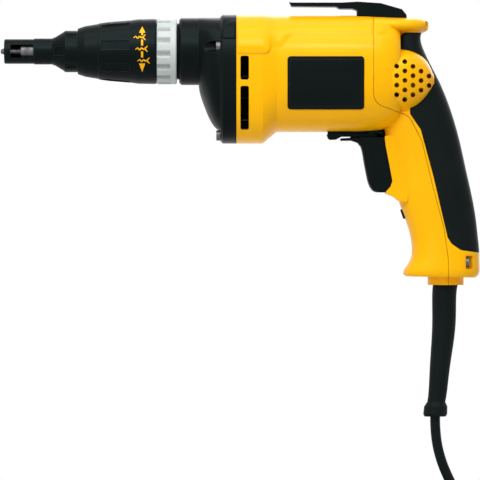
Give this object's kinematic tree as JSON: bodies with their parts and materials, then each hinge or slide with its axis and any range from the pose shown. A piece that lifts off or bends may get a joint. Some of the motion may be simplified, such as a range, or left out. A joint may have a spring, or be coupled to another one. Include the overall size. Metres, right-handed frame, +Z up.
{
  "type": "drywall screwdriver",
  "caption": "Corded pistol-grip drywall screwdriver with a depth-setting nose, belt hook, rubber rear grip, reversing lever and a coiled mains cord.",
  "frame": {"origin": "middle of the pistol grip, in the tool's middle plane", "axes": "+X towards the hand's heel, away from the bit, +Z up, +Y completes the right-handed frame; the spindle axis is parallel to X, 84 mm above the origin"},
  "size_m": [0.3114, 0.1439, 0.3608],
  "materials": {
    "yellow_plastic": "glossy moulded",
    "black_plastic": "satin moulded",
    "plate_black": "smooth film",
    "rubber_black": "soft matt",
    "collar_pale": "satin",
    "steel": "machined",
    "dark_steel": "blackened",
    "laminations": "stacked sheet",
    "copper": "enamelled wire",
    "brass": "plain",
    "bronze": "sintered",
    "carbon": "pressed carbon",
    "inner_plastic": "moulded",
    "cord_rubber": "soft satin"
  },
  "bodies": {
    "housing": {"motor_housing": "yellow_plastic", "handle_cover": "yellow_plastic", "rear_grip": "rubber_black", "name_plates": "plate_black", "handle_screws": "dark_steel", "gear_case": "black_plastic", "gear_case_screws": "dark_steel", "bearing_plate": "inner_plastic", "front_bearing": "steel", "rear_bearing": "steel", "gear_bush": "bronze", "thrust_washer": "steel", "spindle_bush": "bronze", "collar_seal": "rubber_black", "air_baffle": "inner_plastic", "field_core": "laminations", "field_coils": "copper", "brush_holders": "brass", "carbon_brushes": "carbon", "brush_springs": "steel", "trigger_spring": "steel", "switch_body": "inner_plastic", "lock_spring": "steel", "belt_hook": "black_plastic", "belt_hook_screws": "steel", "strain_relief": "rubber_black", "cord_clamp": "inner_plastic", "cord_clamp_screws": "steel", "inner_lead": "cord_rubber", "motor_leads": "cord_rubber", "power_cord": "cord_rubber", "cord_coil": "cord_rubber", "cord_tail": "cord_rubber", "cord_tie": "black_plastic", "plug_body": "rubber_black", "plug_blades": "brass"},
    "armature": {"armature_shaft": "steel", "drive_pinion": "dark_steel", "armature_core": "laminations", "armature_windings": "copper", "commutator": "copper", "cooling_fan": "inner_plastic"},
    "gear": {"drive_gear": "dark_steel", "clutch_spring": "steel"},
    "spindle": {"output_spindle": "steel", "bit_holder": "steel", "bit_magnet": "dark_steel", "bit_ring": "steel", "driver_bit": "dark_steel"},
    "nose_sleeve": {"nose_sleeve": "black_plastic"},
    "depth_collar": {"depth_collar": "collar_pale"},
    "nose_piece": {"nose_piece": "black_plastic"},
    "trigger": {"trigger": "black_plastic"},
    "reverse_lever": {"reverse_lever": "black_plastic"},
    "lock_button": {"lock_button": "black_plastic"}
  },
  "joints": [
    {"name": "armature_spin", "type": "hinge", "parent": "housing", "child": "armature", "pos_m": [-0.087, 0, 0.06685], "axis": [1, 0, 0], "continuous": true},
    {"name": "gear_spin", "type": "hinge", "parent": "housing", "child": "gear", "pos_m": [-0.127, 0, 0.084], "axis": [1, 0, 0], "continuous": true},
    {"name": "bit_push", "type": "slide", "parent": "gear", "child": "spindle", "axis": [1, 0, 0], "range_m": [0, 0.004], "stiffness_N_per_m": 1500, "springref_m": -0.004, "deforming": ["clutch_spring"]},
    {"name": "nose_pull", "type": "slide", "parent": "housing", "child": "nose_sleeve", "axis": [-1, 0, 0], "range_m": [0, 0.118]},
    {"name": "collar_turn", "type": "hinge", "parent": "nose_sleeve", "child": "depth_collar", "pos_m": [-0.172, 0, 0.084], "axis": [1, 0, 0], "range_deg": [-360, 360]},
    {"name": "nose_depth", "type": "slide", "parent": "nose_sleeve", "child": "nose_piece", "axis": [-1, 0, 0], "range_m": [-0.004, 0.004]},
    {"name": "trigger_pull", "type": "slide", "parent": "housing", "child": "trigger", "axis": [1, 0, 0], "range_m": [0, 0.0065], "stiffness_N_per_m": 800, "springref_m": -0.006, "deforming": ["trigger_spring"]},
    {"name": "lock_slide", "type": "slide", "parent": "housing", "child": "lock_button", "axis": [0.3371, 0, -0.9415], "range_m": [0, 0.005], "stiffness_N_per_m": 300, "springref_m": -0.004, "deforming": ["lock_spring"]},
    {"name": "lever_swing", "type": "hinge", "parent": "housing", "child": "reverse_lever", "pos_m": [-0.039, 0, 0.0297], "axis": [0, 0, 1], "range_deg": [-12, 12]}
  ],
  "couplings": [
    {"joint": "gear_spin", "follows": "armature_spin", "ratio": -0.225},
    {"joint": "collar_turn", "follows": "nose_depth", "rad_per_m": 1570.8}
  ]
}
